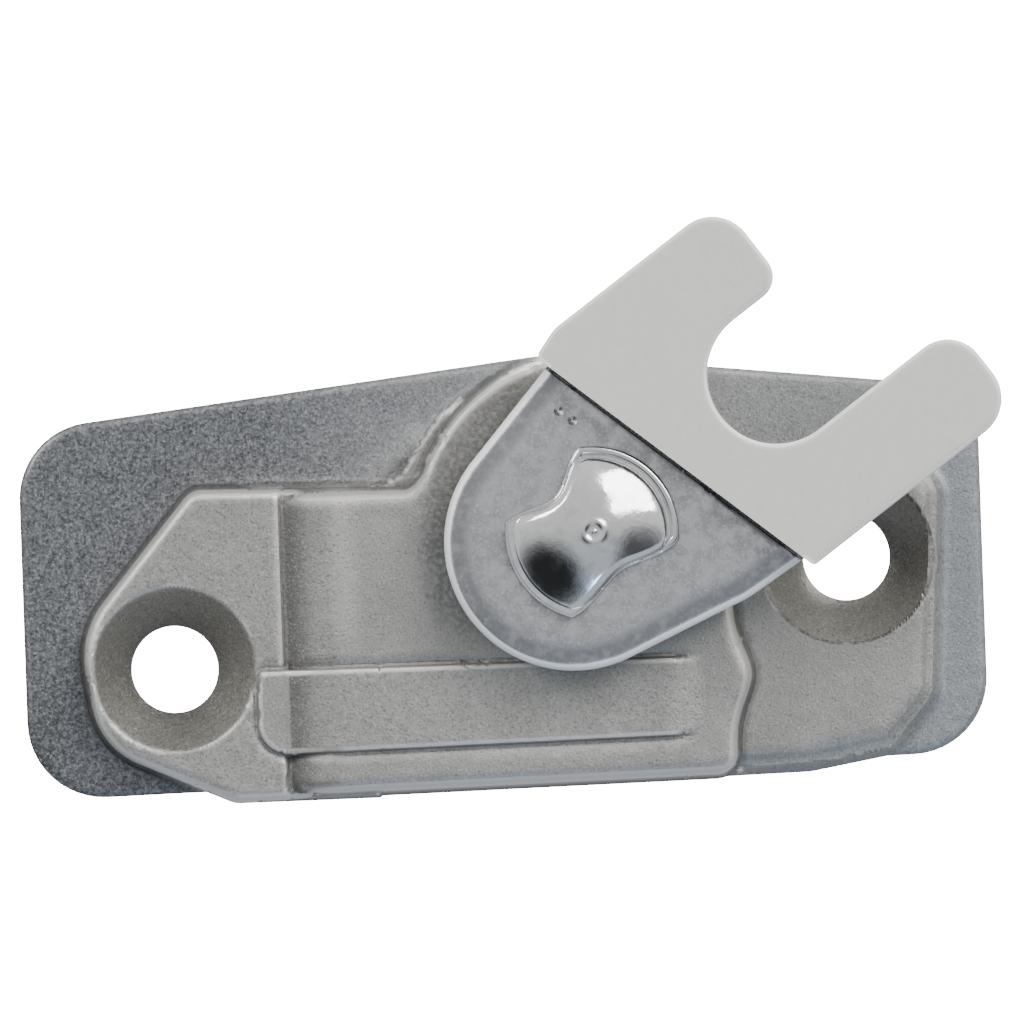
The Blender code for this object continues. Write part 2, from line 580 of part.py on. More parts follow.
head_under = HANDLE_HUB_TOP - HANDLE_RECESS + SEAT_GAP
handle_screw = stack("handle_screw", [
    (circle(HANDLE_SCREW_R, 20), SPINDLE_END_Y - 5.6),
    (circle(HANDLE_SCREW_R, 20), head_under),
    (circle(HANDLE_SCREW_HEAD_R, 20), head_under),
    (circle(HANDLE_SCREW_HEAD_R, 20), head_under + 0.7 * HANDLE_SCREW_HEAD_RISE),
    (circle(HANDLE_SCREW_HEAD_R * 0.7, 20), head_under + HANDLE_SCREW_HEAD_RISE)])
for turn in (0, pi / 2):
    bar = turned([(-1.6, -0.3), (1.6, -0.3), (1.6, 0.3), (-1.6, 0.3)], turn + radians(30))
    combine(handle_screw, "DIFFERENCE", block("drive", bar, head_under + 0.4, 12))
finish(handle_screw, (0.62, 0.62, 0.62), 0.9, 0.35)

thrust_ring = block("thrust_ring", circle(COLLAR_R - 0.1), COLLAR_OUT + 0.1, COLLAR_OUT + 0.1 + THRUST_THICK)
combine(thrust_ring, "DIFFERENCE", hole(CAM_JOURNAL_R + 0.2, 1, 4, steps=48))
finish(thrust_ring, (0.75, 0.73, 0.68), 0.0, 0.5)
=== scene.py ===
import bmesh
import bpy
import numpy as np
from math import acos, atan2, cos, exp, pi, radians, sin, tan
from mathutils import Matrix, Vector
from mathutils.geometry import delaunay_2d_cdt


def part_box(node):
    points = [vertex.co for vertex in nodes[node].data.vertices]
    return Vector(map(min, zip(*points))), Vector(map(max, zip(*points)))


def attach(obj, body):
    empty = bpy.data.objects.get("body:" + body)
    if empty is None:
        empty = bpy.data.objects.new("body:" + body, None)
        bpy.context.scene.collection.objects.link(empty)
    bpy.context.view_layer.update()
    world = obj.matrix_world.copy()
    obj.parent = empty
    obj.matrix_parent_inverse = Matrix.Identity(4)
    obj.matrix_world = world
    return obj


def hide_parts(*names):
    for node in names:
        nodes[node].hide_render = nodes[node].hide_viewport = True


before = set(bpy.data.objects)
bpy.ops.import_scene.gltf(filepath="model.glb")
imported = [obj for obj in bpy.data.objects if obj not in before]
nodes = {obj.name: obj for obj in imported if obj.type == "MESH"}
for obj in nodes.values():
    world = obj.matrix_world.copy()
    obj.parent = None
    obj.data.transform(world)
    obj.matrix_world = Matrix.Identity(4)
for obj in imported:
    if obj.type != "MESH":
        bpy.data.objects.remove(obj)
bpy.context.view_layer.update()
scene = bpy.context.scene
spindleX = sum(corner.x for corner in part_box("fork_washer")) / 2 * 1000  # shapes are in mm from the spindle
sharpAngle = radians(35)


# shader sums, written as plain expressions
class Signal:
    def __init__(self, finish, socket):
        self.finish, self.socket = finish, socket

    def work(self, operation, first, second):
        return self.finish.add("ShaderNodeMath", {"operation": operation}, {0: first, 1: second})

    def __add__(self, other):
        return self.work("ADD", self, other)

    def __radd__(self, other):
        return self.work("ADD", other, self)

    def __sub__(self, other):
        return self.work("SUBTRACT", self, other)

    def __rsub__(self, other):
        return self.work("SUBTRACT", other, self)

    def __mul__(self, other):
        return self.work("MULTIPLY", self, other)

    def __rmul__(self, other):
        return self.work("MULTIPLY", other, self)

    def __truediv__(self, other):
        return self.work("DIVIDE", self, other)

    def __rtruediv__(self, other):
        return self.work("DIVIDE", other, self)

    def __pow__(self, other):
        return self.work("POWER", self, other)

    def __rpow__(self, other):
        return self.work("POWER", other, self)


# a node tree; add() makes any node in it
class Nodes:
    def __init__(self, tree):
        self.tree = tree

    def add(self, kind, settings, inputs, output=0):
        node = self.tree.nodes.new(kind)
        for name, value in settings.items():
            setattr(node, name, value)
        for name, value in inputs.items():
            self.feed(node.inputs[name], value)
        return node if output is None else Signal(self, node.outputs[output])

    def feed(self, socket, value):
        if isinstance(value, Signal):
            self.tree.links.new(value.socket, socket)
        elif isinstance(value, tuple) and socket.type == "RGBA":
            socket.default_value = (*value, 1)
        else:
            socket.default_value = value

    def step(self, value, low, high, start=0.0, end=1.0):
        return self.add("ShaderNodeMapRange", {"interpolation_type": "SMOOTHSTEP"}, {
            "Value": value, "From Min": low, "From Max": high, "To Min": start, "To Max": end})


class Finish(Nodes):
    def __init__(self, name):
        self.material = bpy.data.materials.new(name)
        self.material.use_nodes = True
        super().__init__(self.material.node_tree)
        self.shader = self.tree.nodes["Principled BSDF"]
        place = self.add("ShaderNodeTexCoord", {}, {}, "Object")
        # millimetres from the spindle's axis
        self.place = self.add("ShaderNodeVectorMath", {"operation": "MULTIPLY_ADD"}, {
            0: place, 1: (1000, 1000, 1000), 2: (-spindleX, 0, 0)})
        self.axes = {axis: self.add("ShaderNodeSeparateXYZ", {}, {0: self.place}, axis) for axis in "XYZ"}

    def noise(self, size, detail=2.0, rough=0.5):  # size is that of a patch in millimetres
        return self.add("ShaderNodeTexNoise", {}, {
            "Vector": self.place, "Scale": 1 / size, "Detail": detail, "Roughness": rough}, "Fac")

    def stray(self, size, most, detail=2.0):  # a wandering offset, for edges that shouldn't run straight
        return (self.noise(size, detail) - 0.5) * most

    def painted(self, name):  # a value stored on the piece's points
        return self.add("ShaderNodeAttribute", {"attribute_name": name}, {}, "Fac")

    def blend(self, amount, first, second):
        return self.add("ShaderNodeMix", {"data_type": "RGBA"}, {0: amount, 6: first, 7: second}, 2)

    def bump(self, height, depth, under=None):
        inputs = {"Height": height, "Distance": depth / 1000, "Strength": 1.0}
        if under is not None:
            inputs["Normal"] = under
        return self.add("ShaderNodeBump", {}, inputs)

    def done(self, colour, metal, rough, normal=None):
        for name, value in (("Base Color", colour), ("Metallic", metal), ("Roughness", rough)):
            self.feed(self.shader.inputs[name], value)
        if normal is not None:
            self.feed(self.shader.inputs["Normal"], normal)
        return self.material


# outlines are lists of (x, z), and the meshes made from them are in millimetres from the spindle
def arc(centre, radius, start, end, steps):
    turns = [start + (end - start) * i / steps for i in range(steps + 1)]
    return [(centre[0] + radius * cos(t), centre[1] + radius * sin(t)) for t in turns]


def circle(radius, steps, centre=(0, 0)):
    return arc(centre, radius, 0, 2 * pi * (steps - 1) / steps, steps - 1)


def rounded(corners, steps):  # each corner is (x, z, radius)
    points = []
    for i, (x, z, radius) in enumerate(corners):
        if not radius:
            points.append((x, z))
            continue
        here = Vector((x, z))
        before = (Vector(corners[i - 1][:2]) - here).normalized()
        after = (Vector(corners[(i + 1) % len(corners)][:2]) - here).normalized()
        half = before.angle(after) / 2
        centre = here + (before + after).normalized() * radius / sin(half)
        first = here + before * radius / tan(half) - centre
        last = here + after * radius / tan(half) - centre
        start = atan2(first.y, first.x)
        sweep = (atan2(last.y, last.x) - start + pi) % (2 * pi) - pi
        points += arc(centre, radius, start, start + sweep, steps)
    return points


def grown(points, distance):  # moved outwards, or inwards below zero
    area = sum(p[0] * q[1] - q[0] * p[1] for p, q in zip(points, points[1:] + points[:1]))
    side = 1 if area > 0 else -1
    moved = []
    for i, here in enumerate(points):
        before, after = points[i - 1], points[(i + 1) % len(points)]
        a = Vector((here[1] - before[1], before[0] - here[0])).normalized() * side
        b = Vector((after[1] - here[1], here[0] - after[0])).normalized() * side
        shift = (a + b) * distance / max(1 + a.dot(b), 0.5)
        moved.append((here[0] + shift.x, here[1] + shift.y))
    return moved


def turned(points, angle):  # anticlockwise from the front
    return [(x * cos(angle) - z * sin(angle), x * sin(angle) + z * cos(angle)) for x, z in points]


def spaced(outline, step):  # the same outline with points at most a step apart
    points = []
    for (x, z), (u, w) in zip(outline, outline[1:] + outline[:1]):
        count = max(1, int(((u - x) ** 2 + (w - z) ** 2) ** 0.5 / step))
        points += [(x + (u - x) * i / count, z + (w - z) * i / count) for i in range(count)]
    return points


def depthIn(x, z, outline):  # how far inside a closed outline each place lies; outside is negative
    ax, az = np.array(outline).T
    bx, bz = np.roll(ax, -1), np.roll(az, -1)
    inside = np.zeros(x.shape, bool)
    nearest = np.full(x.shape, 1e9)
    for x0, z0, x1, z1 in zip(ax, az, bx, bz):
        across, up = x1 - x0, z1 - z0
        along = np.clip(((x - x0) * across + (z - z0) * up) / max(across ** 2 + up ** 2, 1e-12), 0, 1)
        nearest = np.minimum(nearest, np.hypot(x - x0 - along * across, z - z0 - along * up))
        if up:
            inside ^= ((z0 > z) != (z1 > z)) & (x < across * (z - z0) / up + x0)
    return np.where(inside, nearest, -nearest)


def softMax(a, b, reach):  # the higher of two, with a fillet where they meet
    near = np.maximum(reach - np.abs(a - b), 0) / reach
    return np.maximum(a, b) + near * near * reach / 4


def ease(value, low, high):  # climbs smoothly from 0 to 1
    t = np.clip((value - low) / (high - low), 0, 1)
    return t * t * (3 - 2 * t)


def edgeDrop(depth, radius):  # how far a rounded edge falls away
    inner = np.clip(radius - depth, 0, radius)
    return radius - np.sqrt(radius ** 2 - inner ** 2)


def shelf(depth, top, roundR, draft):  # height of a block with drafted walls and a rounded top edge
    over = top - edgeDrop(depth - draft, roundR)
    wall = (top - roundR) * np.clip(depth / draft, 0, 1)
    return np.where(depth >= draft, over, np.where(depth > 0, wall, 0))


def dip(distance, width):  # 1 in the middle of a groove, fading to 0
    return np.exp(-(distance / width) ** 2)


def addObject(name, points, faces, body, slot, material, *replaced):
    mesh = bpy.data.meshes.new(name)
    mesh.from_pydata([((x + spindleX) / 1000, y / 1000, z / 1000) for x, y, z in points], [], faces)
    mesh.validate()
    piece = bpy.data.objects.new(name, mesh)
    scene.collection.objects.link(piece)
    mesh.shade_smooth()
    mesh.set_sharp_from_angle(angle=sharpAngle)
    if material:
        mesh.materials.append(material)
    if body:
        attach(piece, body)
        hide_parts(*replaced)
    return piece


def ringMesh(rings):  # skin over closed rings of (x, y, z), with both ends capped
    count = len(rings[0])
    points = [point for ring in rings for point in ring]
    faces = []
    for low in range(0, len(points) - count, count):
        for i, j in zip(range(count), [*range(1, count), 0]):
            faces.append((low + i, low + j, low + count + j, low + count + i))
    faces += [tuple(reversed(range(count))), tuple(range(len(points) - count, len(points)))]
    return points, faces


def tool(outline, front):  # a block that cuts in from behind the back, to this y
    points, faces = ringMesh([[(x, y, z) for x, z in outline] for y in (1, front)])
    block = addObject("tool", points, faces, None, None, None)
    work = bmesh.new()
    work.from_mesh(block.data)
    bmesh.ops.recalc_face_normals(work, faces=work.faces)
    work.to_mesh(block.data)
    work.free()
    return block


def cut(piece, tools):  # each tool is gone again once it has cut
    for each in tools:
        step = piece.modifiers.new("cut", "BOOLEAN")
        step.solver, step.operation, step.object = "MANIFOLD", "DIFFERENCE", each
        graph = bpy.context.evaluated_depsgraph_get()
        result = bpy.data.meshes.new_from_object(piece.evaluated_get(graph))
        piece.modifiers.clear()
        piece.data = result
        bpy.data.objects.remove(each)
    piece.data.shade_smooth()
    piece.data.set_sharp_from_angle(angle=sharpAngle)


def crispness(x, z, heightAt, reach):  # positive on outside edges, negative in hollows
    around = heightAt(x + reach, z) + heightAt(x - reach, z) + heightAt(x, z + reach) + heightAt(x, z - reach)
    return (4 * heightAt(x, z) - around) / reach


def paint(piece, name, values):  # stored on the points from 0 to 4, as 0 to 1
    values = np.clip(values, 0, 4) / 4
    layer = piece.data.attributes.new(name, "FLOAT", "POINT")
    layer.data.foreach_set("value", values.astype(np.float32))


# a solid over the outlines together, less the holes. Two functions give its front and back heights;
# rows are extra points where those change fast, and none of them lies nearer than room to another
def relief(outlines, holes, rows, frontAt, backAt, grid, room=0.11):
    cell, gridRoom, sliver = 0.4, 0.3, 1e-7
    lines = [spaced(line, 0.3) for line in outlines] + [spaced(line, 0.25) for line in holes]
    fixed = [point for line in lines for point in line]
    edges, start = [], 0
    for line in lines:
        edges += [(start + i, start + (i + 1) % len(line)) for i in range(len(line))]
        start += len(line)
    low, high = np.array(fixed).min(0), np.array(fixed).max(0)
    taken, kept = {}, []

    def clear(x, z, distance):
        column, row = int(x // cell), int(z // cell)
        near = [point for i in (-1, 0, 1) for j in (-1, 0, 1) for point in taken.get((column + i, row + j), ())]
        return all((u - x) ** 2 + (w - z) ** 2 >= distance ** 2 for u, w in near)

    def take(x, z):
        taken.setdefault((int(x // cell), int(z // cell)), []).append((x, z))

    for x, z in fixed:
        take(x, z)
    for x, z in rows:
        if clear(x, z, room):
            take(x, z)
            kept.append((x, z))
    for i, z in enumerate(np.arange(low[1], high[1], grid)):
        for x in np.arange(low[0] + grid * (i % 2) / 2, high[0], grid):
            if clear(x, z, gridRoom):
                kept.append((float(x), float(z)))
    points, _, triangles, *_ = delaunay_2d_cdt([Vector(p) for p in fixed + kept], edges, [], 0, 1e-5)
    flat = np.array([(p.x, p.y) for p in points])
    faces = np.array(triangles)

    x, z = flat[faces].mean(1).T
    solid = np.max([depthIn(x, z, line) for line in outlines], axis=0) > 0
    for line in holes:
        solid &= depthIn(x, z, line) < 0
    faces = faces[solid]
    x, z = flat[faces].transpose(2, 0, 1)
    area = (x[:, 1] - x[:, 0]) * (z[:, 2] - z[:, 0]) - (x[:, 2] - x[:, 0]) * (z[:, 1] - z[:, 0])
    faces = faces[area > sliver]
    ends = np.concatenate([faces[:, [0, 1]], faces[:, [1, 2]], faces[:, [2, 0]]])
    _, first, count = np.unique(np.sort(ends, axis=1), axis=0, return_index=True, return_counts=True)
    rim = ends[first[count == 1]]
    x, z = flat.T
    points = [(a, -h, b) for heights in (frontAt(x, z), backAt(x, z)) for a, h, b in zip(x, heights, z)]
    count = len(flat)
    skin = faces.tolist()  # seen from the front these run anticlockwise
    skin += (faces[:, ::-1] + count).tolist()
    skin += [(b, a, a + count, b + count) for a, b in rim.tolist()]
    return points, skin


casting = {
    "flange": [(-34.2, 7.2, 4.6), (-2.2, 10.8, 12.0), (23.35, 7.95, 3.8), (23.35, -13.85, 4.6), (-34.2, -14.9, 4.6)],
    "ear": [(-31.0, -5.0, 5.4), (-23.95, 3.45, 1.4), (-13.0, 3.3, 0.3), (-13.0, -15.4, 0.3), (-21.9, -15.45, 1.5),
            (-29.9, -11.9, 4.6)],
    "middle": [(-20.5, 3.35, 0.3), (-10.9, 3.25, 0.8), (-8.0, 6.5, 0), (4.0, 8.0, 0), (8.5, 2.0, 0)],
    "middleFoot": [(8.5, -14.95, 1.6), (-20.5, -15.4, 0.3)],
    "wallX": 8.55, "wallSwell": 1.0, "wallMiddle": -8.7, "wallSpread": 2.2,
    "rightEar": [(5.0, 4.2, 0.5), (17.3, 5.4, 2.8), (21.4, 2.8, 2.4), (20.6, -10.6, 2.4), (17.9, -13.85, 1.0),
                 (12.6, -14.75, 3.0), (5.0, -14.9, 0.5)],
    "pad": [(-20.4, -7.5, 0.5), (6.6, -7.5, 0.6), (6.6, -12.3, 1.4), (-18.0, -12.65, 4.0), (-20.4, -12.65, 1.9)],
    "flangeThick": 2.4, "flangeEdge": 0.5, "earTop": 5.0, "middleTop": 6.0, "bossTop": 7.0, "rightEarTop": 3.6,
    "groove": 4.5, "grooveX": -18.45, "humpWide": 3.4, "padRise": 0.4, "padEdge": 0.22, "padEnd": 6.4, "crease": 0.12,
    "bulgeR": 10.95, "bulgeCut": 9.2, "bulgeEnd": 8.2, "mouthAngle": radians(36), "bossR": 6.95, "headRoom": 6.5,
    "web": ((-13.0, 3.35), (-10.1, 5.9)), "webRise": 0.42, "footR": 0.75, "footBlend": 0.25,
    "leftHole": (-25.25, -7.3), "leftSink": 4.96, "rightHole": (15.2, -1.95), "rightSink": 5.2,
    "holeR": 2.6, "boreR": 4.077, "sinkHalf": radians(41)}

behind = {  # cavities for the cover, cam and spring
    "cover": [(-20.2, -6.4, 1.5), (-9.3, 8.9, 5.0), (9.2, 8.9, 3.0), (9.2, -13.8, 2.0), (-20.2, -13.8, 2.0)],
    "coverRoom": 0.25, "coverDeep": 1.5, "chamberR": 8.2, "chamberDeep": 4.6,
    "pocket": [(-13.7, -6.4, 1.0), (4.6, -6.4, 0), (4.6, -12.6, 1.0), (-13.7, -12.6, 1.0)],
    "slot": [(-18.0, -10.2), (-13.0, -10.2), (-13.0, -9.0), (-18.0, -9.0)], "pocketDeep": 4.3,
    "screwR": 1.0, "screwDeep": 5.0}

castLook = {
    "raised": (0.355, 0.35, 0.335), "raisedPatch": (0.315, 0.31, 0.295), "sink": (0.27, 0.26, 0.235),
    "flange": (0.265, 0.27, 0.28), "flangeDark": (0.12, 0.125, 0.135), "flangeRight": (0.295, 0.315, 0.335),
    "corner": (0.05, 0.052, 0.058), "speck": (0.34, 0.35, 0.36), "pit": (0.045, 0.047, 0.052),
    "slope": (0.11, 0.108, 0.10), "crestHighlight": (0.54, 0.53, 0.50), "forkShadow": (0.13, 0.13, 0.125),
    "grainDark": (0.10, 0.10, 0.10), "grainLight": (0.66, 0.65, 0.63), "wornHighlight": (0.74, 0.73, 0.70),
    "nearBlack": (0.07, 0.07, 0.07), "grain": 0.15, "metal": 0.8, "rough": 0.5, "grainDeep": 0.028, "swellDeep": 0.04}


def castZinc():
    look = Finish("castZinc")
    c = castLook
    x, height, z = look.axes["X"], 0 - look.axes["Y"], look.axes["Z"]
    away = (x ** 2 + z ** 2) ** 0.5

    # blasting left the flange speckled, and dark at its left end and lower corner
    leftDark = look.step(x + look.stray(6.0, 14, 1.0), -2, -24)
    speck = look.noise(0.2, 3.0, 0.6)
    flange = look.blend(leftDark, c["flange"], c["flangeDark"])
    corner = look.step(x - z * 0.5 + look.stray(3.0, 4), -23.5, -28.5) * look.step(z, -6.0, -11.0)
    flange = look.blend(corner * 0.55, flange, c["corner"])
    flange = look.blend(look.step(speck, 0.46, 0.64, 0.0, 0.42), flange, c["speck"])
    flange = look.blend(look.step(speck, 0.44, 0.34, 0.0, 0.8) * leftDark, flange, c["pit"])
    right = look.step(x + look.stray(1.5, 1.5), 18.5, 20.5) * look.step(height, 3.3, 2.8)
    flange = look.blend(right * 0.7, flange, c["flangeRight"])

    # painted shade darkens the hump's slope and the foot of the groove beside it, and a painted highlight runs along
    # the hump's crest
    body = look.blend(look.step(look.noise(2.6, 3.0), 0.35, 0.7), c["raised"], c["raisedPatch"])
    slope = look.step(x, -18.5, -18.3) * look.step(x, -15.9, -17.6)
    foot = look.step(x, -18.5, -18.35) * look.step(x + look.stray(1.0, 0.6), -16.9, -18.2)
    body = look.blend(slope * 0.42 + foot * 0.33, body, c["slope"])
    crestHighlight = look.step(x + look.stray(1.2, 0.8), -16.0, -15.3) * look.step(x, -13.6, -14.9)
    body = look.blend(crestHighlight * look.step(z, -8.0, -3.0, 0.3, 1.0) * 0.5, body, c["crestHighlight"])

    # painted shadow of the fork: the body round the spindle, to its left, is painted darker
    forkShadow = look.step(away + look.stray(1.0, 2), 11.4, 9.4) * look.step(x, -1, -5) * look.step(z, -8, -4)
    body = look.blend(forkShadow * look.step(look.noise(0.3), 0.3, 0.6, 0.2, 0.75), body, c["forkShadow"])
    # the lower flange is painted darker and bluer than the raised body: partly its own tone, partly painted shade
    colour = look.blend(look.step(height + look.stray(0.5, 0.5), 2.5, 3.3), flange, body)

    # the countersinks are cut bare and smoother, and painted darker, partly that bare finish and partly painted shade;
    # a dark ring is painted round the right one's rim
    outLeft, outRight = (((x - casting[hole][0]) ** 2 + (z - casting[hole][1]) ** 2) ** 0.5
                         for hole in ("leftHole", "rightHole"))
    leftR, rightR = casting["leftSink"], casting["rightSink"]
    sink = look.step(outLeft, leftR - 0.02, leftR - 0.16) + look.step(outRight, rightR - 0.02, rightR - 0.16)
    sink = sink * look.step(height, 0.4, 0.8)
    rim = look.step(outRight, rightR + 0.14, rightR + 0.03) * look.step(outRight, rightR - 0.2, rightR - 0.08)
    rim = rim * look.step(height, 2.5, 3.0) * look.step(look.noise(0.8), 0.3, 0.6, 0.3, 0.85)
    colour = look.blend(rim, colour, c["nearBlack"])
    colour = look.blend(sink * 0.85, colour, c["sink"])

    grain = look.noise(c["grain"], 2.0, 0.7)
    colour = look.blend(look.step(grain, 0.34, 0.46, 0.45, 0.0), colour, c["grainDark"])
    colour = look.blend(look.step(grain, 0.56, 0.68, 0.0, 0.3), colour, c["grainLight"])
    crisp = look.step(x, 11.5, 9.8)  # the right ear's edges stayed soft
    # painted shade in hollows, and a painted highlight on edges that is partly edge wear
    colour = look.blend(look.step(look.painted("hollowShade"), 0.04, 0.8, 0.0, 0.42) * crisp, colour, c["nearBlack"])
    colour = look.blend(look.step(look.painted("wearAndHighlight"), 0.06, 0.5, 0.0, 0.8) * crisp, colour, c["wornHighlight"])
    rough = c["rough"] + (grain - 0.5) * 0.5 - sink * 0.1
    normal = look.bump(look.noise(0.9), c["swellDeep"], look.bump(grain, c["grainDeep"]))
    return look.done(colour, c["metal"], rough, normal)


def castOutlines():
    c = casting
    wallZ = np.linspace(-3.2, -12.8, 25)
    wall = [(c["wallX"] + c["wallSwell"] * dip(z - c["wallMiddle"], c["wallSpread"]), z, 0) for z in wallZ]
    towards = Vector((cos(c["mouthAngle"]), sin(c["mouthAngle"])))
    return {
        "ear": rounded(c["ear"], 10),
        "middle": rounded([*c["middle"], *wall, *c["middleFoot"]], 10),
        "bulge": [point for point in circle(c["bulgeR"], 140) if towards.dot(point) < c["bulgeCut"]],
        "right": rounded(c["rightEar"], 8)}


def makeCasting():
    c = casting
    thick = c["flangeThick"]
    flange, pad, lines = rounded(c["flange"], 12), rounded(c["pad"], 8), castOutlines()
    sinks = ((c["leftHole"], c["leftSink"], c["earTop"]), (c["rightHole"], c["rightSink"], c["rightEarTop"]))
    (webX, webZ), (endX, endZ) = c["web"]
    webLong = np.hypot(endX - webX, endZ - webZ)
    webWay = ((endX - webX) / webLong, (endZ - webZ) / webLong)

    def layers(x, z):  # each step's height over the flange, and how far inside its outline each place is
        deep = {name: depthIn(x, z, line) for name, line in lines.items()}
        fromRight = np.hypot(x - c["rightHole"][0], z - c["rightHole"][1]) - c["headRoom"]
        deep["bulge"] = np.minimum(deep["bulge"], np.minimum(fromRight, c["bulgeEnd"] - x))
        # a groove parts the ear from the middle, which then climbs in a soft hump
        slope = np.clip((x - c["grooveX"]) / c["humpWide"], 0, 1)
        middleTop = c["groove"] + (c["middleTop"] - c["groove"]) * np.sin(slope * pi / 2) ** 0.9
        earTop = c["earTop"] - (c["earTop"] - c["groove"]) * ease(x, c["grooveX"] - 0.4, c["grooveX"])
        return deep, {
            "ear": shelf(deep["ear"], earTop - thick, 0.5, 0.2),
            "middle": shelf(deep["middle"], middleTop - thick, 0.75, 0.4),
            "bulge": shelf(deep["bulge"], c["middleTop"] - thick, 0.6, 0.3),
            "right": (c["rightEarTop"] - thick) * ease(deep["right"], 0, 1.5)}

    def frontAt(x, z):
        deep, rises = layers(x, z)
        body = softMax(np.maximum(rises["middle"], rises["bulge"]), rises["right"], 0.35)
        body = np.maximum(body, rises["ear"])
        body = np.maximum(body, shelf(c["bossR"] - np.hypot(x, z), c["bossTop"] - thick, 0.3, 0.2))
        # a cove runs round the foot of them all
        foot = softMax(softMax(deep["middle"], deep["bulge"], 3.2), deep["ear"], 0.6)
        foot = softMax(foot, deep["right"] - 0.4, 1.0)
        reach = np.clip(foot + c["footR"], 0, c["footR"])
        cove = c["footR"] - np.sqrt(c["footR"] ** 2 - reach ** 2)
        body = softMax(body, cove, c["footBlend"]) - c["footBlend"] / 4 * dip(body, 0.1)
        # a soft web with a small pocket behind it fills the corner beside the bulge
        along = (x - webX) * webWay[0] + (z - webZ) * webWay[1]
        out = (z - webZ) * webWay[0] - (x - webX) * webWay[1]
        web = c["webRise"] * dip(out, np.where(out > 0, 1.3, 0.55))
        body = softMax(body, web * ease(along, -2.4, 0.8) * (1 - ease(along, webLong - 0.6, webLong + 1.4)), 0.3)
        body = np.maximum(body, 0)
        # the strip over the spring's pocket fades out at its right end
        inPad = depthIn(x, z, pad)
        strip = np.interp(x, [-18.6, -15.2], [c["earTop"], c["middleTop"]]) - thick
        strip = strip + c["padRise"] * (1 - ease(x, c["padEnd"] - 2.2, c["padEnd"]))
        strip = strip - edgeDrop(inPad - 0.06, c["padEdge"]) - np.where(inPad < 0.06, 0.3, 0)
        body = np.where((inPad > 0) & (x < c["padEnd"]), np.maximum(body, strip), body)
        crease = dip(inPad + 0.08, 0.12) * (1 - ease(x, 4.6, 6.0)) * ease(body, 2.4, 2.55)
        body = body - c["crease"] * crease
        plate = thick - edgeDrop(np.maximum(depthIn(x, z, flange), 0), c["flangeEdge"])
        height = plate + (thick - plate) * ease(body, 0.02, 0.25) + body
        for (holeX, holeZ), sink, top in sinks:
            away = np.hypot(x - holeX, z - holeZ)
            cone = top + (away - sink) / tan(c["sinkHalf"])
            height = np.where(away < sink + 1.2, np.minimum(height, cone), height)
        return np.maximum(height, 0.9)

    def flatBack(x, z):
        return np.zeros(x.shape)

    # rows of points follow every edge, but only where that step is the highest
    rows = []
    for name, offsets in (
            ("ear", (-0.72, -0.5, -0.28, -0.1, 0.1, 0.22, 0.34, 0.5, 0.7, 0.95)),
            ("middle", (-0.72, -0.5, -0.28, -0.1, 0.12, 0.24, 0.36, 0.48, 0.66, 0.86, 1.1, 1.4)),
            ("bulge", (-1.0, -0.72, -0.5, -0.28, -0.1, 0.1, 0.2, 0.3, 0.42, 0.58, 0.76, 0.92, 1.2)),
            ("right", (-0.3, 0, 0.3, 0.6, 0.9, 1.05, 1.2, 1.35))):
        for offset in offsets:
            ring = spaced(grown(spaced(lines[name], 0.3), -offset), 0.28)
            _, rises = layers(*np.array(ring).T)
            highest = np.max(list(rises.values()), axis=0)
            rows += [point for point, here, most in zip(ring, rises[name], highest) if here > most - 0.15]
    for offset in (-0.3, -0.14, 0.0, 0.06, 0.14, 0.28, 0.5):
        rows += spaced(grown(spaced(pad, 0.25), -offset), 0.24)
    for out in (-0.75, -0.5, -0.3, -0.15, 0, 0.2, 0.45, 0.75, 1.1):
        for along in np.arange(-2, 5.5, 0.22):
            rows.append((webX + webWay[0] * along - webWay[1] * out, webZ + webWay[1] * along + webWay[0] * out))
    for offset in (0.07, 0.18, 0.32, 0.5, 0.8):
        rows += spaced(grown(flange, -offset), 0.35)
    for centre, sink, _ in sinks:
        for radius in (sink + 0.25, sink + 0.1, sink, sink - 0.1, sink - 0.3, 4.2, 3.6, 3.1):
            rows += circle(radius, int(radius * 26), centre)
    for x in (-18.95, -18.85, -18.75, -18.65, -18.55, -18.45, -18.3, -18.1, -17.8):
        rows += [(x, z) for z in np.arange(-15.2, 3.2, 0.22)]
    for radius in (7.1, 6.95, 6.85, 6.75, 6.6, 6.4):
        rows += circle(radius, 150)

    holes = [circle(c["holeR"], 64, c["leftHole"]), circle(c["holeR"], 64, c["rightHole"]), circle(c["boreR"], 80)]
    points, faces = relief([flange, *lines.values()], holes, rows, frontAt, flatBack, 0.42)
    piece = addObject("lockCasting", points, faces, "body", "cast_zinc", castZinc(), "lock_body")

    b = behind
    tools = [
        tool(grown(rounded(b["cover"], 8), b["coverRoom"]), -b["coverDeep"]),
        tool(circle(b["chamberR"], 96), -b["chamberDeep"]),
        tool(rounded(b["pocket"], 6), -b["pocketDeep"]), tool(b["slot"], -b["pocketDeep"])]
    for number in (1, 2, 3):
        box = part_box(f"cover_screw_{number}")
        middle = (sum(corner.x for corner in box) * 500 - spindleX, sum(corner.z for corner in box) * 500)
        tools.append(tool(circle(b["screwR"], 32, middle), -b["screwDeep"]))
    cut(piece, tools)

    # a painted highlight on edges, partly edge wear, and painted shade in hollows, on the front only
    data = np.empty(len(piece.data.vertices) * 3)
    piece.data.vertices.foreach_get("co", data)
    x, y, z = data.reshape(-1, 3).T * 1000
    x = x - spindleX
    front = (y < 0) & (np.abs(frontAt(x, z) + y) < 0.02)
    paint(piece, "wearAndHighlight", np.where(front, crispness(x, z, frontAt, 0.3), 0))
    paint(piece, "hollowShade", np.where(front, -crispness(x, z, frontAt, 0.5), 0))
    return piece


castPiece = makeCasting()
print("casting", len(castPiece.data.vertices))


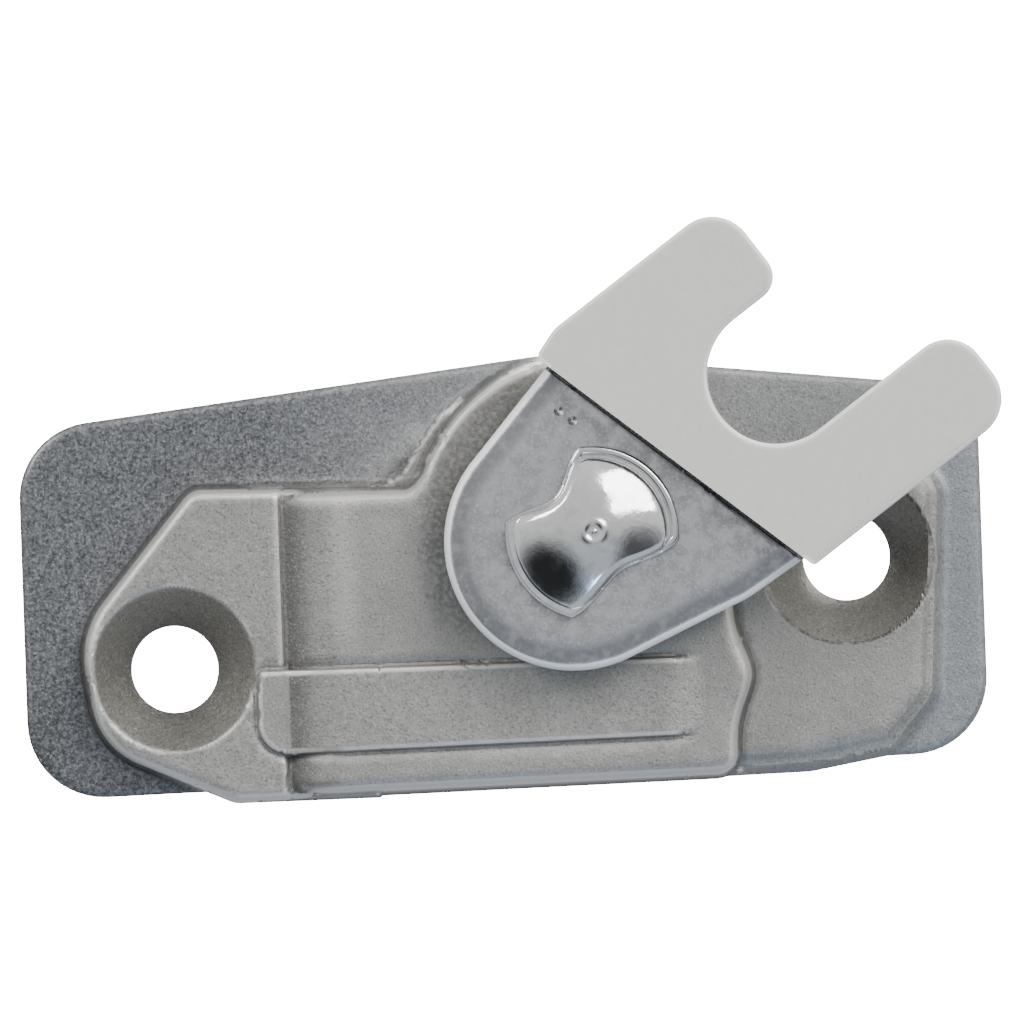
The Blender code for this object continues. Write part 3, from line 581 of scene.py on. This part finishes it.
fork = {
    "seat": 8.2, "thick": 1.9, "step": 2.1, "tineAngle": radians(36), "baseCentre": (-1.15, -0.46), "baseR": 7.7,
    "mouth": (14.45, -0.69), "mouthR": 4.13, "shoulder": 5.7, "leftOut": -11.0, "leftTip": 18.2, "rightOut": 9.66,
    "rightTip": 24.68, "rim": 0.55, "rimSag": 0.14, "tineEdge": 0.3, "backEdge": 0.25, "keyR": 3.4, "keyFlat": 2.6,
    "keyAngle": radians(225), "dots": [(-1.75, 7.35), (-0.95, 6.75)], "dotR": 0.3, "dotDeep": 0.22,
    "creaseAngle": radians(51.2), "creaseAt": 6.37, "creaseDeep": 0.1}

zincLook = {
    "plate": (0.60, 0.60, 0.61), "platePatch": (0.38, 0.385, 0.40), "fleck": (0.72, 0.72, 0.73),
    "rim": (0.97, 0.97, 0.96), "ring": (0.25, 0.255, 0.27), "creaseShade": (0.19, 0.19, 0.195),
    "tine": (0.64, 0.63, 0.575), "tinePatch": (0.71, 0.70, 0.65), "tineRimHighlight": (0.93, 0.92, 0.89),
    "plateRough": 0.30, "tineRough": 0.62, "ripple": 0.02, "grainDeep": 0.008}


def platedZinc():
    look = Finish("platedZinc")
    c = zincLook
    creaseAt = fork["creaseAt"]
    out = look.axes["X"] * cos(fork["creaseAngle"]) + look.axes["Z"] * sin(fork["creaseAngle"])
    tine = look.step(out, creaseAt - 0.02, creaseAt + 0.02)
    mottle = look.noise(0.9, 4.0, 0.6)
    fine = look.noise(0.22, 2.0, 0.6)
    inset = look.painted("inset") * 4  # millimetres in from the sheet's edge

    # a painted highlight along the rim, and a darker ring inside it
    plate = look.blend(look.step(mottle, 0.35, 0.65), c["plate"], c["platePatch"])
    plate = look.blend(look.step(fine, 0.5, 0.7, 0.0, 0.5), plate, c["fleck"])
    ring = look.step(inset, 0.35, 0.6) * look.step(inset + (mottle - 0.5) * 1.2, 1.7, 1.0)
    plate = look.blend(ring * look.step(mottle, 0.3, 0.6, 0.4, 0.85), plate, c["ring"])
    rim = look.step(inset, 0.42, 0.30)
    plate = look.blend(rim, plate, c["rim"])
    # painted shade along the plate beside the crease, under the tines' step
    plate = look.blend(look.step(out, creaseAt - 0.3, creaseAt - 0.14, 0.0, 0.9), plate, c["creaseShade"])

    # the tines are matt and paler, with a painted highlight along their edges
    matt = look.blend(look.step(look.noise(0.5, 3.0), 0.3, 0.75, 0.0, 0.3), c["tine"], c["tinePatch"])
    matt = look.blend(look.step(inset, 0.26, 0.14, 0.0, 0.85), matt, c["tineRimHighlight"])
    colour = look.blend(tine, plate, matt)
    rough = look.step(mottle, 0.3, 0.7, c["plateRough"] - 0.06, c["plateRough"] + 0.12)
    rough = (rough + look.step(inset, 0.45, 0.3, 0.0, 0.25)) * (1 - tine) + c["tineRough"] * tine
    metal = 1 - tine * 0.75 - rim * (1 - tine) * 0.7
    return look.done(colour, metal, rough, look.bump(fine, c["grainDeep"], look.bump(mottle, c["ripple"])))


def doubleD(radius, flat, angle):  # a circle with two flats
    half = pi / 2 - acos(flat / radius)
    return turned(arc((0, 0), radius, -half, half, 16) + arc((0, 0), radius, pi - half, pi + half, 16), angle)


def makeFork():
    f = fork
    angle, creaseAt = f["creaseAngle"], f["creaseAt"]

    def fromCrease(out, along):
        return turned([(out, -along)], angle)[0]

    def tineCorner(along, across, radius):
        return (*turned([(along, -across)], f["tineAngle"])[0], radius)

    leftIn, rightIn = f["mouth"][1] - f["mouthR"], f["mouth"][1] + f["mouthR"]
    tines = rounded([
        (*fromCrease(creaseAt, -9.0), 0.5),
        tineCorner(f["shoulder"], f["leftOut"], 2.6),
        tineCorner(f["leftTip"], f["leftOut"], 2.5),
        tineCorner(f["leftTip"], leftIn, 1.5),
        *(tineCorner(*point, 0) for point in arc(f["mouth"], f["mouthR"], -pi / 2, -3 * pi / 2, 40)),
        tineCorner(f["rightTip"], rightIn, 2.3),
        tineCorner(f["rightTip"], f["rightOut"], 2.5),
        (*fromCrease(creaseAt, 11.75), 0.3)], 10)
    upperLeft, lowerRight = fromCrease(creaseAt + 1.6, -8.05), fromCrease(creaseAt + 1.0, 11.35)
    base = arc(f["baseCentre"], f["baseR"], angle + pi / 2, radians(293.6), 60)
    base += rounded([(6.2, -5.4, 0.2), (9.0, -4.3, 8.0), (*lowerRight, 0.2), (0, 0, 0.2)], 8)[9:18]
    base += [lowerRight, upperLeft]

    def outOf(x, z):
        return x * cos(angle) + z * sin(angle)

    def frontAt(x, z):
        out = outOf(x, z) - creaseAt
        inBase, inTine = depthIn(x, z, base), depthIn(x, z, tines)
        plate = f["seat"] + f["thick"] - edgeDrop(inBase, f["rim"]) - f["rimSag"] * (1 - ease(inBase, 0.4, 1.9))
        plate = plate - f["creaseDeep"] * dip(out + 0.12, 0.07)
        for dotX, dotZ in f["dots"]:
            plate = plate - f["dotDeep"] * np.clip(1 - np.hypot(x - dotX, z - dotZ) / f["dotR"], 0, 1)
        crisp = ease(out - inTine, 0.0, 0.3)  # the sheet stays sharp along the crease
        tine = f["seat"] + f["thick"] + f["step"] - edgeDrop(inTine, f["tineEdge"]) * crisp
        lift = np.where(out >= -0.001, 1, np.clip((out + 0.04) / 0.04, 0, 1))
        return np.where(inTine > -0.02, plate + (tine - plate) * lift, plate)

    def forkBack(x, z):
        inside = np.maximum(np.maximum(depthIn(x, z, base), depthIn(x, z, tines)), 0)
        joggle = ease(outOf(x, z), creaseAt - 0.7, creaseAt + 1.5)
        return f["seat"] + f["step"] * joggle + edgeDrop(inside, f["backEdge"])

    rows = []
    for offset in (0.07, 0.16, 0.28, 0.42, 0.56, 0.8, 1.1, 1.5, 2.0):
        ring = spaced(grown(spaced(base, 0.3), -offset), 0.26)
        rows += [point for point in ring if outOf(*point) < creaseAt - 0.2]
    for offset in (0.05, 0.12, 0.25, 0.45):
        ring = spaced(grown(spaced(tines, 0.3), -offset), 0.26)
        rows += [point for point in ring if outOf(*point) > creaseAt + 0.1]
    for out in (-0.75, -0.4, -0.22, -0.15, -0.09, -0.04, 0.0, 0.12, 0.4, 0.8, 1.2, 1.55):
        rows += [fromCrease(creaseAt + out, along) for along in np.arange(-8.7, 11.6, 0.22)]
    for dot in f["dots"]:
        rows.append(dot)
        for radius in (0.12, 0.22, 0.3, 0.4):
            rows += circle(radius, 20, dot)
    key = doubleD(f["keyR"], f["keyFlat"], f["keyAngle"])
    points, faces = relief([base, tines], [key], rows, frontAt, forkBack, 0.5, 0.035)
    piece = addObject("forkStamping", points, faces, "turning", "plated_steel", platedZinc(), "fork_lever")
    x, _, z = np.array(points).T
    paint(piece, "inset", np.maximum(depthIn(x, z, base), depthIn(x, z, tines)))
    return piece


forkPiece = makeFork()
print("fork", len(forkPiece.data.vertices))


head = {
    "radius": 5.2, "waists": [(134, 2.05, 38), (304, 2.35, 51)],  # each at an angle, this deep, this far either way
    "seat": 10.4, "lip": 0.5, "lipEdge": 0.22, "rim": 0.5, "thinRim": 0.16, "rimSide": radians(38), "rise": 1.98,
    "domeR": 8.2, "domeEdge": 0.55, "seam": 0.10, "pip": (0.1, 0.1), "pipRing": 0.07, "pipDip": 0.09, "pipPoint": 0.10}

shank = {
    "square": 5.0, "corner": 0.3, "tenonR": 3.3, "tenonFlat": 2.5, "journalR": 3.997, "shoulder": 7.9,
    "journalEnd": 4.9, "journalEdge": 0.15, "end": 7.2, "endEdge": 0.2}

spindleLook = {
    "colour": (0.80, 0.80, 0.80), "patch": (0.66, 0.67, 0.69), "smooth": 0.07, "rough": 0.2, "size": 1.1, "deep": 0.02}


def brightSteel():
    look = Finish("brightSteel")
    c = spindleLook
    patch = look.noise(c["size"], 3.0, 0.6)
    colour = look.blend(look.step(patch, 0.4, 0.7), c["colour"], c["patch"])
    rough = look.step(patch, 0.3, 0.7, c["smooth"], c["rough"])
    return look.done(colour, 1.0, rough, look.bump(patch, c["deep"]))


def headRadius(angle):  # how far out the head's edge lies, by angle in degrees
    radius = np.full(angle.shape, head["radius"])
    for middle, depth, spread in head["waists"]:
        off = (angle - middle + 180) % 360 - 180
        fall = np.maximum(0.0, 1 - (off / spread) ** 2)
        radius = radius - depth * fall ** (1 + 0.4 * (1 - fall))
    return radius


def makeHead():
    h = head
    angles = np.linspace(0, 360, 360, endpoint=False)
    edge, turns = headRadius(angles), np.radians(angles)
    outline = list(zip((edge * np.cos(turns)).tolist(), (edge * np.sin(turns)).tolist()))

    def frontAt(x, z):
        inside = depthIn(x, z, outline)
        away = np.hypot(x, z)
        # riveted over: a flat lip, then a domed middle that falls away at its own edge
        lip = h["lip"] - edgeDrop(np.maximum(inside, 0), h["lipEdge"])
        dome = h["rise"] - (h["domeR"] - np.sqrt(np.maximum(h["domeR"] ** 2 - away ** 2, 0)))
        side = ease(x * cos(h["rimSide"]) + z * sin(h["rimSide"]), 0.5, 2.5) * ease(away, 4.2, 4.5)
        rim = h["thinRim"] + (h["rim"] - h["thinRim"]) * side
        dome = dome - edgeDrop(np.maximum(inside - rim, 0), h["domeEdge"])
        top = np.where(inside > rim, np.maximum(dome, lip), lip - h["seam"] * dip(inside - rim, 0.07))
        ring = np.hypot(x - h["pip"][0], z - h["pip"][1])
        top = top + h["pipRing"] * dip(ring - 0.62, 0.14) - h["pipDip"] * dip(ring, 0.42)
        return h["seat"] + top + h["pipPoint"] * dip(ring, 0.16)

    def headBack(x, z):
        return np.full(x.shape, h["seat"])

    rows = []
    for offset in (0.05, 0.1, 0.14, 0.17, 0.22, 0.28, 0.36, 0.43, 0.48, 0.51, 0.56, 0.62, 0.7, 0.8, 0.92, 1.05, 1.2):
        rows += spaced(grown(spaced(outline, 0.14), -offset), 0.12)
    for radius in (0.07, 0.14, 0.22, 0.32, 0.42, 0.52, 0.62, 0.72, 0.85, 1.0):
        rows += circle(radius, 36, h["pip"])
    return relief([outline], [], rows, frontAt, headBack, 0.3, 0.04)


def makeShank():
    s = shank
    side, corner, near, far = s["square"] / 2, s["corner"], -s["shoulder"], -s["journalEnd"]
    tenon = doubleD(s["tenonR"], s["tenonFlat"], fork["keyAngle"])
    square = rounded([(x, z, corner) for x, z in ((-side, -side), (side, -side), (side, side), (-side, side))], 6)
    journal, chamfer = circle(s["journalR"], 96), circle(s["journalR"] - s["journalEdge"], 96)
    lap, edge = 0.1, s["journalEdge"]  # the tenon laps into the head and into the journal
    points, faces = [], []
    for rings in (
            [(tenon, -head["seat"] - lap), (tenon, near + lap)],
            [(chamfer, near), (journal, near + edge), (journal, far - edge), (chamfer, far)],
            [(square, far - 0.2), (square, s["end"] - s["endEdge"]), (grown(square, -s["endEdge"]), s["end"])]):
        more, skin = ringMesh([[(x, y, z) for x, z in line] for line, y in rings])
        faces += [tuple(i + len(points) for i in face) for face in skin]
        points += more
    return points, faces


steelLook = brightSteel()
addObject("rivetedHead", *makeHead(), "turning", "bright_steel", steelLook, "spindle")
addObject("spindleShank", *makeShank(), "turning", "bright_steel", steelLook)
print("spindle")


hardware = {  # colour, roughness, metal, size of its patches, how dark they are
    "back_cover": ("coverZinc", (0.30, 0.30, 0.31), 0.5, 0.7, 0.35, 0.75),
    "fork_washer": ("washerSteel", (0.52, 0.52, 0.54), 0.35, 1.0, 0.6, 0.75),
    "detent_cam": ("sinteredSteel", (0.30, 0.285, 0.26), 0.5, 1.0, 0.6, 0.75),
    "cam_washer": ("washerNylon", (0.75, 0.73, 0.68), 0.5, 0.0, 0.6, 0.75),
    "stop_pin": ("pinSteel", (0.6, 0.6, 0.6), 0.3, 1.0, 0.6, 0.75),
    "detent_spring": ("springSteel", (0.30, 0.31, 0.35), 0.3, 1.0, 0.6, 0.75),
    "thrust_ring": ("ringNylon", (0.75, 0.73, 0.68), 0.5, 0.0, 0.6, 0.75),
    "handle": ("darkPaint", (0.035, 0.035, 0.04), 0.45, 0.0, 0.6, 0.75),
    "handle_screw": ("screwSteel", (0.6, 0.6, 0.62), 0.3, 1.0, 0.6, 0.75)}


def plainFinish(name, colour, rough, metal, size, dark):
    look = Finish(name)
    patch = look.noise(size, 4.0, 0.6)
    fine = look.noise(size / 4, 2.0, 0.6)
    shade = look.blend(look.step(patch, 0.3, 0.75), colour, tuple(c * dark for c in colour))
    shade = look.blend(look.step(fine, 0.5, 0.7, 0.0, 0.3), shade, tuple(min(1, c * 1.35) for c in colour))
    return look.done(shade, metal, look.step(patch, 0.3, 0.7, rough - 0.08, rough + 0.1), look.bump(fine, 0.01))


finishes = {name: plainFinish(*values) for name, values in hardware.items()}
for name in ("cover_screw_1", "cover_screw_2", "cover_screw_3"):
    finishes[name] = finishes["handle_screw"]
for name, material in finishes.items():
    nodes[name].data.materials.clear()
    nodes[name].data.materials.append(material)
print("finishes", len(finishes))


studio = {
    "centre": (0.01412, 0.00158), "wide": 0.0609, "plane": -0.006, "lens": 1000, "sensor": 36, "roll": 2.0,
    "aim": (0.012, 0, 0), "floorZ": -45, "floorHalf": (450, 350),
    "floorTones": ((0.80, 0.80, 0.79), (0.83, 0.83, 0.82)), "floorRough": (0.55, 0.65),
    "white": 22.0, "sides": 0.95, "front": 0.8, "below": 0.75, "cool": (0.84, 0.91, 1.0), "warm": (1.0, 0.995, 0.985),
    "dark": [((-0.60, -0.62, -0.56), 0.80, 0.97, 0.04), ((0.66, -0.70, -0.30), 0.88, 0.98, 0.15)],  # way, edges, level
    "lamps": [  # place, size, watts, colour
        ((0.33, -0.42, 0.35), 0.40, 4.0, (1.0, 0.99, 0.97)),
        ((-0.40, -0.35, 0.30), 0.20, 1.5, (0.97, 0.98, 1.0)),
        ((0.05, -0.20, -0.20), 0.06, 0.09, (0.42, 0.66, 1.0)),
        ((0.10, 0.50, 0.35), 0.40, 3.0, (1.0, 1.0, 1.0))]}


def addCamera():
    s = studio
    data = bpy.data.cameras.new("camera")
    data.lens, data.sensor_width, data.clip_start, data.clip_end = s["lens"], s["sensor"], 0.01, 50
    camera = bpy.data.objects.new("camera", data)
    scene.collection.objects.link(camera)
    away = s["wide"] * s["lens"] / s["sensor"]
    turn, (x, z) = radians(s["roll"]), s["centre"]
    camera.matrix_world = Matrix((
        (cos(turn), sin(turn), 0, x), (0, 0, -1, s["plane"] - away), (-sin(turn), cos(turn), 0, z), (0, 0, 0, 1)))
    scene.camera = camera


def addLamps():
    for number, (place, size, watts, colour) in enumerate(studio["lamps"], 1):
        light = bpy.data.lights.new(f"softbox{number}", "AREA")
        light.shape, light.size, light.energy, light.color = "SQUARE", size, watts, colour
        lamp = bpy.data.objects.new(f"softbox{number}", light)
        scene.collection.objects.link(lamp)
        lamp.location = place
        lamp.rotation_euler = (Vector(studio["aim"]) - Vector(place)).to_track_quat("-Z", "Y").to_euler()
        lamp.visible_camera = False


def addTent():  # the air around lights the part, and the camera sees plain white behind it
    s = studio
    world = bpy.data.worlds.new("tent")
    scene.world = world
    world.use_nodes = True
    world.node_tree.nodes.clear()
    tent = Nodes(world.node_tree)
    toward = tent.add("ShaderNodeTexCoord", {}, {}, "Generated")
    depth, up = (tent.add("ShaderNodeSeparateXYZ", {}, {0: toward}, axis) for axis in "YZ")
    # the tent is open, and so darker, in front, and dark below
    strength = tent.step(depth, -1.0, -0.4, s["front"], s["sides"]) * tent.step(up, -0.5, 0.5, s["below"], 1.0)
    for way, low, high, level in s["dark"]:
        lean = tent.add("ShaderNodeVectorMath", {"operation": "DOT_PRODUCT"}, {
            0: toward, 1: tuple(Vector(way).normalized())}, "Value")
        strength = strength * tent.step(lean, low, high, 1.0, level)
    colour = tent.add("ShaderNodeMix", {"data_type": "RGBA"}, {
        0: tent.step(up, -0.6, 0.2), 6: s["cool"], 7: s["warm"]}, 2)
    lit = tent.add("ShaderNodeBackground", {}, {"Color": colour, "Strength": strength})
    seen = tent.add("ShaderNodeBackground", {}, {"Strength": s["white"], "Color": (1.0, 1.0, 1.0)})
    direct = tent.add("ShaderNodeLightPath", {}, {}, "Is Camera Ray")
    mixed = tent.add("ShaderNodeMixShader", {}, {0: direct, 1: lit, 2: seen})
    tent.add("ShaderNodeOutputWorld", {}, {0: mixed}, None)


def addFloor():
    s = studio
    look = Finish("paleFloor")
    tone = look.noise(20.0)
    colour = look.blend(look.step(tone, 0.3, 0.7), *s["floorTones"])
    material = look.done(colour, 0.0, look.step(tone, 0.3, 0.7, *s["floorRough"]))
    (x, y), z = s["floorHalf"], s["floorZ"]
    corners = [(-x, -y, z), (x, -y, z), (x, y, z), (-x, y, z)]
    floor = addObject("floor", corners, [(0, 1, 2, 3)], None, None, material)
    floor.visible_glossy = floor.visible_diffuse = floor.visible_shadow = False


addCamera()
addLamps()
addTent()
addFloor()
print("studio")
